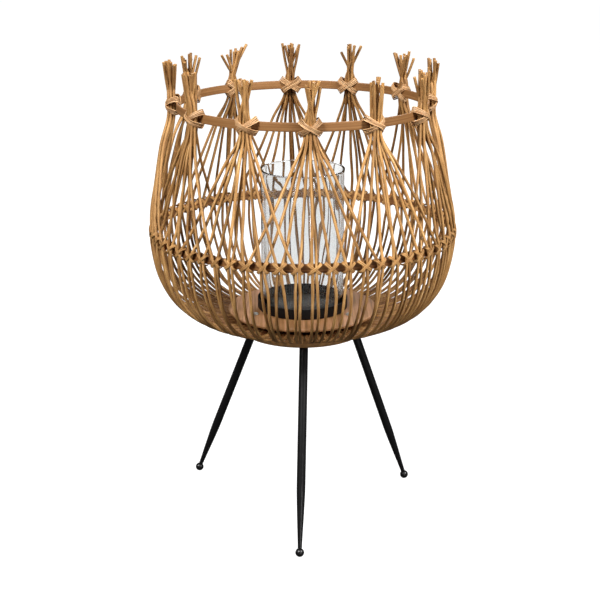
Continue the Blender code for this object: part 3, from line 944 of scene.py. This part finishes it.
def lashing_strand(web, given, slant, strand):
    """One slanting loop of cane: x is off the hoop, y along it and z up."""
    turn = web.node("GeometryNodeSplineParameter", out="Factor") * math.tau

    def squared(operation):
        value = web.function(operation, turn)
        return web.function("ABSOLUTE", value) ** LOOP_SQUARENESS * web.function("SIGN", value)

    off = squared("COSINE") * given.out("Half depth") * (1.0 + 0.06 * slant)
    up = squared("SINE") * given.out("Half height")
    across = slant * up * given.out("Swing") / given.out("Half height")
    spread = given.out("Cane width") * strand * 0.98
    place = web.vector(X=off, Y=across - spread * slant * 0.72, Z=up + spread * 0.68)
    ring = web.shape("CurvePrimitiveCircle", Resolution=40, Radius=1.0)
    ring = web.shape("SetPosition", Geometry=ring, Position=place)
    ring = web.store(ring, "along", web.node("GeometryNodeSplineParameter", out="Length"))
    parts = web.split(web.node("GeometryNodeInputPosition"))
    x = parts.out("X") * given.out("Cane thickness")
    y = parts.out("Y") * given.out("Cane width")
    profile = web.shape("CurvePrimitiveCircle", Resolution=8, Radius=0.5)
    profile = web.shape("SetPosition", Geometry=profile, Position=web.vector(X=x, Y=y))
    around = web.node("GeometryNodeSplineParameter", out="Factor") * math.tau
    profile = web.store(profile, "round", around)
    return web.shape("CurveToMesh", Curve=ring, Profile_Curve=profile, Fill_Caps=True)


class LANTERN_OT_belly_lashing(bpy.types.Operator):
    """Lash each pair of rods to the belly hoop"""

    bl_idname = "lantern.belly_lashing"
    bl_label = "Belly lashing"

    def execute(self, context):
        bindings = context.scene.lantern_bindings
        rods = context.scene.lantern_rods
        material = finish_named("peeled_rod")
        front = BELLY_RADIUS + rods.diameter / 2 + 0.0007
        back = BELLY_HOOP_RADIUS - HOOP_THICKNESS - 0.0011
        piece = grow(
            "lashing", bpy.data.meshes.new("lashing"), lashing_tree(), material, Count=BINDINGS,
            First_azimuth=FIRST_SHEAF, Hoop_radius=(front + back) / 2, Height=BELLY_HEIGHT,
            Half_depth=(front - back) / 2, Half_height=bindings.lashing_half_height,
            Swing=bindings.lashing_swing, Cane_width=bindings.lashing_cane / 2, Cane_thickness=0.0009,
            Seed=11,
        )
        stand_for(piece, "basket", "split_cane", "belly_lashing")
        return {"FINISHED"}


def make_hoop(name, node, material, seed, shade):
    """A split strip bent to a hoop, its ends thinned and laid over each other."""
    low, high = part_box(node)
    outer, centre = radius_of(node), middle_height(node)
    chance = random.Random(seed)
    start = chance.uniform(0, math.tau)
    overlap = 0.075 / outer
    count = 220
    thickness, path, outward = [], [], []
    for i in range(count + 1):
        azimuth = (math.tau + overlap) * i / count
        into = min(1.0, azimuth / overlap)
        left = min(1.0, (math.tau + overlap - azimuth) / overlap)
        thick = HOOP_THICKNESS * (0.12 + 0.88 * min(into, left)) - 0.0001
        inner_face = outer - HOOP_THICKNESS
        radius = inner_face + thick / 2 if into < 1.0 else outer - thick / 2
        wave = 0.0002 * noise.noise(Vector((math.cos(azimuth) * 2, math.sin(azimuth) * 2, seed)))
        path.append(polar(radius + wave, start + azimuth, centre + 2 * wave))
        outward.append(polar(1.0, start + azimuth, 0.0))
        thickness.append(thick)
    rings = section_rings(
        np.asarray(path), np.asarray(outward), high.z - low.z - 0.0004, thickness, 20, squareness=0.28,
    )
    return lofted(name, rings, material, sharp=50, closed=False, shade=shade)


class LANTERN_OT_hoops(bpy.types.Operator):
    """Make the two hoops that the rods are bound to"""

    bl_idname = "lantern.hoops"
    bl_label = "Hoops"

    def execute(self, context):
        for name, node, finish, seed, shade in (
            ("mouth_hoop", "top_hoop", "bamboo_strip", 5, 0.05),
            ("waist_hoop", "belly_hoop", "smoked_strip", 9, 0.62),
        ):
            hoop = make_hoop(name, node, finish_named(finish), seed, shade)
            stand_for(hoop, "basket", "bamboo_strip", node)
        return {"FINISHED"}


# ---------------------------------------------------------------- foot of the basket


def bar_profile(inner, outer, low, high):
    """The section of a plain ring or disc."""
    return [(inner, low), (outer, low), (outer, high), (inner, high)]


def make_turned(name, profile, sides, material, shade=0.5, corner=0.0004, sharp=40):
    """A piece turned about the lantern's axis, its section's corners rounded."""
    rings = turned_rings(rounded(profile, corner), sides)
    return lofted(name, rings, material, sharp, shade=shade)


class LANTERN_OT_foot(bpy.types.Operator):
    """Make the rim and the board at the foot of the basket"""

    bl_idname = "lantern.foot"
    bl_label = "Foot"

    def execute(self, context):
        strip = finish_named("bamboo_strip")
        inner = RIM_RADIUS - 0.0045
        middle = (RIM_LOW + RIM_HIGH) / 2
        face = RIM_RADIUS - 0.0002
        profile = [
            (inner, RIM_LOW), (face - 0.0018, RIM_LOW), (face - 0.0005, RIM_LOW + 0.003), (face, middle),
            (face - 0.0005, RIM_HIGH - 0.003), (face - 0.0016, RIM_HIGH), (inner, RIM_HIGH),
        ]
        # Painted light: the rim's shade of 1.3 lightens its strip colour to make up for the little lamp light
        # that reaches it
        rim = make_turned("rim", profile, 120, strip, 1.3, 0.001)
        stand_for(rim, "basket", "bamboo_strip", "base_rim")
        profile = bar_profile(0.0, radius_of("floor_board"), BOARD_LOW, BOARD_HIGH)
        board = make_turned("board", profile, 120, finish_named("stained_board"), 0.5, 0.0006)
        stand_for(board, "basket", "stained_board", "floor_board")
        outer = radius_of("clamp_ring")
        profile = bar_profile(outer - 0.011, outer, BOARD_LOW - 0.0017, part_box("clamp_ring")[1].z)
        stand_for(make_turned("clamp", profile, 96, strip), "basket", "bamboo_strip", "clamp_ring")
        return {"FINISHED"}


def screw_tree():
    """Geometry Nodes that set a crossed pan-head screw on every point."""
    tree, web, given = new_tree(
        "floor_screws", "Points", "Screws", Head_radius="Float", Head_height="Float", Shank_radius="Float",
        Shank_length="Float", Nut_radius="Float", Nut_height="Float", Nut_drop="Float", Seed="Int",
    )
    radius, height, length = given.out("Head radius"), given.out("Head height"), given.out("Shank length")
    head = web.shape(
        "MeshCylinder", Vertices=32, Side_Segments=1, Fill_Segments=6, Radius=radius, Depth=height,
    )
    parts = web.split(web.node("GeometryNodeInputPosition"))
    reach = web.vectors("LENGTH", web.vector(X=parts.out("X"), Y=parts.out("Y")), out="Value") / radius
    is_top = web.node("FunctionNodeCompare", {0: parts.out("Z"), 1: 0.0}, operation="GREATER_THAN")
    dome = web.vector(Z=reach**4.0 * -0.55 * height)
    head = web.shape("SetPosition", Geometry=head, Selection=is_top, Offset=dome)
    recess = []
    for long, short in ((1.15, 0.26), (0.26, 1.15)):
        size = web.vector(X=radius * long, Y=radius * short, Z=height * 0.9)
        recess.append(web.shifted(web.shape("MeshCube", Size=size), Z=height * 0.5))
    meshes = {"Mesh 1": head, "Mesh 2": recess}
    head = web.node("GeometryNodeMeshBoolean", meshes, operation="DIFFERENCE", solver="EXACT")
    head = web.shifted(head, Z=height * 0.5)
    shank = web.shape("MeshCylinder", Vertices=16, Radius=given.out("Shank radius"), Depth=length)
    shank = web.shifted(shank, Z=length * -0.5)
    nut = web.shape("MeshCylinder", Vertices=6, Radius=given.out("Nut radius"), Depth=given.out("Nut height"))
    nut = web.shifted(nut, Z=given.out("Nut drop") * -1.0)
    screw = web.shape("JoinGeometry", Geometry=[nut, shank, head])
    turn = web.vector(Z=web.chance(0.0, 3.1, given.out("Seed")))
    screws = web.shape("InstanceOnPoints", Points=given, Instance=screw, Rotation=turn)
    close_tree(web, screws, given, "Screws")
    return tree


class LANTERN_OT_screws(bpy.types.Operator):
    """Set the three screws, with their nuts, that hold the board to the mounting plate"""

    bl_idname = "lantern.screws"
    bl_label = "Screws"

    def execute(self, context):
        material = finish_named("zinc_plate")
        spots = []
        for number in (1, 2, 3):
            low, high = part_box(f"floor_bolt_{number}")
            spots.append(((low.x + high.x) / 2, (low.y + high.y) / 2, BOARD_HIGH + 0.0001))
        nut_low, nut_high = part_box("bolt_nut_1")
        mesh = bpy.data.meshes.new("screws")
        mesh.from_pydata(spots, [], [])
        piece = grow(
            "screws", mesh, screw_tree(), material, sharp=30, Head_radius=0.0044,
            Head_height=high.z - BOARD_HIGH - 0.0001, Shank_radius=0.0022, Shank_length=BOARD_HIGH - low.z,
            Nut_radius=0.0045, Nut_height=nut_high.z - nut_low.z,
            Nut_drop=BOARD_HIGH - (nut_low.z + nut_high.z) / 2, Seed=4,
        )
        nodes = [f"{kind}_{number}" for kind in ("floor_bolt", "bolt_nut") for number in (1, 2, 3)]
        stand_for(piece, "basket", "zinc_steel", *nodes)
        return {"FINISHED"}


# ---------------------------------------------------------------- tripod


def leg_line(side):
    """The middle of a leg's ball and the middle of its tube's upper end."""
    mount = next(m for m in frame["record"]["mounts"] if m["name"] == f"foot_{side}")
    ball = Vector((*mount["pos_m"][:2], BALL_FLAT))
    corners = [v.co for v in frame["nodes"][f"leg_tube_{side}"].data.vertices]
    rough_axis = (sum(corners, Vector()) / len(corners) - ball).normalized()
    far = max((c - ball).dot(rough_axis) for c in corners)
    end = [c for c in corners if (c - ball).dot(rough_axis) > far - 0.004]
    unique = {tuple(round(x, 6) for x in c) for c in end}
    return ball, sum((Vector(c) for c in sorted(unique)), Vector()) / len(unique)


def make_along(name, ball, top, profile, material, sides=40, corner=0.0004):
    """A piece turned about a leg. The profile's heights are measured from the ball's middle."""
    turn = (top - ball).to_track_quat("Z", "Y").to_matrix()
    upright = turned_rings(rounded(profile, corner), sides)
    rings = [[tuple(ball + turn @ Vector(point)) for point in ring] for ring in upright]
    return lofted(name, rings, material)


def make_leg(side, material):
    ball, top = leg_line(side)
    length = (top - ball).length
    bore = 0.0018
    taper = 0.085
    profile = [
        (bore, 0.0056), (0.0030, 0.0056), (0.0031, 0.012), (0.0036, 0.024), (0.0046, 0.046),
        (0.0055, 0.068), (0.0059, 0.081), (0.0060, taper + 0.006), (0.0060, length), (0.0048, length),
        (0.0048, taper + 0.012), (bore, 0.014),
    ]
    leg = make_along(f"leg_{side}", ball, top, profile, material)
    stand_for(leg, "basket", "black_steel", f"leg_tube_{side}")

    start = math.acos(BALL_FLAT / BALL_RADIUS)
    arc = [(0.0, -BALL_FLAT), (math.sqrt(BALL_RADIUS**2 - BALL_FLAT**2), -BALL_FLAT)]
    rows = 14
    for i in range(1, rows):
        angle = start + (math.pi - start) * i / rows
        arc.append((BALL_RADIUS * math.sin(angle), -BALL_RADIUS * math.cos(angle)))
    arc.append((0.0, BALL_RADIUS))
    rings = [[(ball.x + x, ball.y + y, ball.z + z) for x, y, z in ring] for ring in turned_rings(arc, 32)]
    foot = lofted(f"foot_{side}", rings, material, sharp=50)
    stand_for(foot, "basket", "black_steel", f"ball_foot_{side}")


def make_socket(side, material):
    """A sleeve under the plate that a leg screws into, with the weld round its upper end."""
    ball, top = leg_line(side)
    length = (top - ball).length
    plate_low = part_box("mounting_plate")[0].z
    low, high = 0.0003, 0.017
    axis = (top - ball).normalized()
    turn = axis.to_track_quat("Z", "Y").to_matrix()
    sides = 36
    outer, bore = 0.008, 0.0042
    edge = 0.0006
    profile = ((bore, low), (outer - edge, low), (outer, low + edge), (outer, high), (bore, high))
    rings = []
    for i in range(sides):
        azimuth = math.tau * i / sides
        ring = []
        for radius, height in profile:
            point = ball + turn @ Vector(polar(radius, azimuth, length + height))
            if point.z > plate_low - PLATE_GAP:
                point = point + axis * ((plate_low - PLATE_GAP - point.z) / axis.z)
            ring.append(tuple(point))
        rings.append(ring)
    skin = Skin()
    skin.loft(rings, closed=True)
    middle = top + axis * ((plate_low - 0.001 - top.z) / axis.z)
    bead, facing = [], []
    beads = 72
    for i in range(beads):
        azimuth = math.tau * i / beads
        ripple = 0.0003 * math.sin(azimuth * 17)
        point = middle + turn @ Vector(polar(outer + 0.0004, azimuth, 0.0))
        point = point + axis * ((plate_low - 0.0012 + ripple * 0.3 - point.z) / axis.z)
        bead.append(tuple(point))
        facing.append(polar(1.0, azimuth, 0.0))
    rings = section_rings(np.asarray(bead), np.asarray(facing), 0.0018, 0.0018, 8, closed=True)
    skin.loft(rings, closed=True)
    socket = skin.make(f"socket_{side}", material)
    stand_for(socket, "basket", "black_steel", f"leg_socket_{side}")


class LANTERN_OT_tripod(bpy.types.Operator):
    """Make the three legs, their ball feet and sockets, and the plate that carries them"""

    bl_idname = "lantern.tripod"
    bl_label = "Tripod"

    def execute(self, context):
        material = finish_named("black_steel")
        for side in LEG_SIDES:
            make_leg(side, material)
            make_socket(side, material)
            stud = frame["nodes"][f"leg_stud_{side}"]
            stud.data.materials.clear()
            stud.data.materials.append(material)
        low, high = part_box("mounting_plate")
        profile = bar_profile(0.0, radius_of("mounting_plate"), low.z, high.z)
        plate = make_turned("plate", profile, 120, material, corner=0.0005)
        stand_for(plate, "basket", "black_steel", "mounting_plate")
        return {"FINISHED"}


# ---------------------------------------------------------------- dish and glass


class LANTERN_OT_dish(bpy.types.Operator):
    """Make the pressed steel dish that carries the glass and the candle"""

    bl_idname = "lantern.dish"
    bl_label = "Dish"

    def execute(self, context):
        material = finish_named("dish_lacquer")
        low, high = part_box("candle_dish")
        edge = radius_of("candle_dish") - 0.0001
        sheet, bend = 0.0012, 0.0016
        seat, rise = 0.046, 0.001
        floor = low.z + sheet
        profile = [
            (0.0, low.z), (edge - bend, low.z), (edge, low.z + bend), (edge, high.z), (edge - sheet, high.z),
            (edge - sheet, floor), (seat + 0.0012, floor), (seat, floor + rise), (0.0, floor + rise),
        ]
        dish = make_turned("dish", profile, 120, material, corner=0.0005)
        stand_for(dish, "dish", "black_steel", "candle_dish")
        return {"FINISHED"}


class LANTERN_OT_glass(bpy.types.Operator):
    """Make the blown glass cylinder with its flared lip"""

    bl_idname = "lantern.glass"
    bl_label = "Glass"

    def execute(self, context):
        material = finish_named("clear_glass")
        low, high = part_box("glass_cylinder")
        lip = radius_of("glass_cylinder")
        radius = lip - 0.001
        wall = 0.0026
        rows = 40
        profile = [(radius - wall, low.z), (radius, low.z)]
        body = [low.z + (high.z - 0.007 - low.z) * (i + 1) / rows for i in range(rows)]
        profile += [(radius, z) for z in body]
        profile += [(radius + 0.0003, high.z - 0.004), (lip, high.z - 0.0003), (lip - wall, high.z - 0.0003)]
        profile += [(radius - wall + 0.0003, high.z - 0.004)]
        profile += [(radius - wall, z) for z in reversed(body)]
        rings = np.asarray(turned_rings(rounded(profile, 0.0012), 144), float)
        for ring in rings:
            for point in ring:
                x, y, z = point
                reach = math.hypot(x, y)
                side = 7.0 if reach < radius - wall / 2 else 0.0
                wave = 0.0004 * noise.noise(Vector((x * 45, y * 45, z * 11 + side)))
                scale = 1 + wave / reach
                point[0], point[1] = x * scale, y * scale
        glass = lofted("glass", rings, material)
        stand_for(glass, "glass", "clear_glass", "glass_cylinder")
        return {"FINISHED"}


# ---------------------------------------------------------------- stage


def aim(obj, target):
    obj.rotation_euler = (Vector(target) - obj.location).to_track_quat("-Z", "Y").to_euler()


def add_light(name, location, target, power, size):
    data = bpy.data.lights.new(name, "AREA")
    data.shape = "SQUARE"
    data.size = size
    data.energy = power
    light = bpy.data.objects.new(name, data)
    light.location = location
    aim(light, target)
    bpy.context.scene.collection.objects.link(light)


class LANTERN_OT_stage(bpy.types.Operator):
    """Set up the pale floor, the soft studio light and the camera"""

    bl_idname = "lantern.stage"
    bl_label = "Stage"

    def execute(self, context):
        stage = context.scene.lantern_stage
        mesh = bpy.data.meshes.new("floor")
        corners = ((-1, -1), (1, -1), (1, 1), (-1, 1))
        points = [(x * STAGE_HALF, y * STAGE_HALF, z) for z in (0.0, STAGE_HALF) for x, y in corners]
        walls = [(i, (i + 1) % 4, (i + 1) % 4 + 4, i + 4) for i in range(4)]
        mesh.from_pydata(points, [], [(0, 1, 2, 3), *walls])
        floor = bpy.data.objects.new("floor", mesh)
        context.scene.collection.objects.link(floor)
        paint, _, shader = new_material("floor_paint", Roughness=1.0, Specular_IOR_Level=0.0)
        shader.inputs["Base Color"].default_value = (0.2, 0.2, 0.2, 1.0)
        shader.inputs["Emission Color"].default_value = (1.0, 1.0, 1.0, 1.0)
        shader.inputs["Emission Strength"].default_value = stage.floor_glow
        mesh.materials.append(paint)
        floor.visible_diffuse = False
        floor.visible_glossy = False

        world = bpy.data.worlds.new("studio")
        world.use_nodes = True
        background = world.node_tree.nodes["Background"]
        background.inputs["Color"].default_value = (1.0, 1.0, 1.0, 1.0)
        background.inputs["Strength"].default_value = stage.sky_strength
        context.scene.world = world
        context.scene.view_settings.view_transform = "Standard"

        middle = (0.0, 0.0, 0.38)
        for name, place, target, share, size in (
            ("key", (-1.3, -1.5, 2.3), middle, 1.0, 0.7),
            ("second", (1.8, -1.1, 2.1), middle, 1.0, 0.7),
            ("back", (0.2, 2.4, 1.9), middle, 0.35, 1.0),
            ("low", (0.7, -1.5, 0.12), (0.0, 0.0, 0.26), 0.028, 0.3),
        ):
            add_light(name, place, target, stage.key_power * share, size)

        data = bpy.data.cameras.new("camera")
        data.sensor_width = 36.0
        data.lens = 84.13
        camera = bpy.data.objects.new("camera", data)
        camera.location = (-0.0036, -1.8704, 0.9014)
        camera.rotation_euler = (math.radians(72.34), 0.0, 0.0)
        context.scene.collection.objects.link(camera)
        context.scene.camera = camera
        return {"FINISHED"}


# ---------------------------------------------------------------- panel


OPERATORS = (
    LANTERN_OT_rods, LANTERN_OT_top_bindings, LANTERN_OT_belly_lashing, LANTERN_OT_hoops, LANTERN_OT_foot,
    LANTERN_OT_screws, LANTERN_OT_tripod, LANTERN_OT_dish, LANTERN_OT_glass, LANTERN_OT_stage,
)
GROUPS = {
    "lantern_rods": LanternRods,
    "lantern_bindings": LanternBindings,
    "lantern_finishes": LanternFinishes,
    "lantern_stage": LanternStage,
}


class LANTERN_PT_panel(bpy.types.Panel):
    """Lists the lantern's pieces and settings"""

    bl_idname = "LANTERN_PT_panel"
    bl_label = "Lantern"
    bl_space_type = "VIEW_3D"
    bl_region_type = "UI"
    bl_category = "Lantern"

    def draw(self, context):
        for name, group in GROUPS.items():
            box = self.layout.box()
            for setting in group.__annotations__:
                box.prop(getattr(context.scene, name), setting)
        for operator in OPERATORS:
            self.layout.operator(operator.bl_idname)


def register():
    for group in GROUPS.values():
        bpy.utils.register_class(group)
    for name, group in GROUPS.items():
        setattr(bpy.types.Scene, name, bpy.props.PointerProperty(type=group))
    for kind in (*OPERATORS, LANTERN_PT_panel):
        bpy.utils.register_class(kind)


def unregister():
    for kind in (LANTERN_PT_panel, *reversed(OPERATORS)):
        bpy.utils.unregister_class(kind)
    for name in GROUPS:
        delattr(bpy.types.Scene, name)
    for group in reversed(list(GROUPS.values())):
        bpy.utils.unregister_class(group)


def main():
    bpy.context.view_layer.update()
    register()
    for operator in OPERATORS:
        group, name = operator.bl_idname.split(".")
        getattr(getattr(bpy.ops, group), name)()


if __name__ == "__main__":
    main()
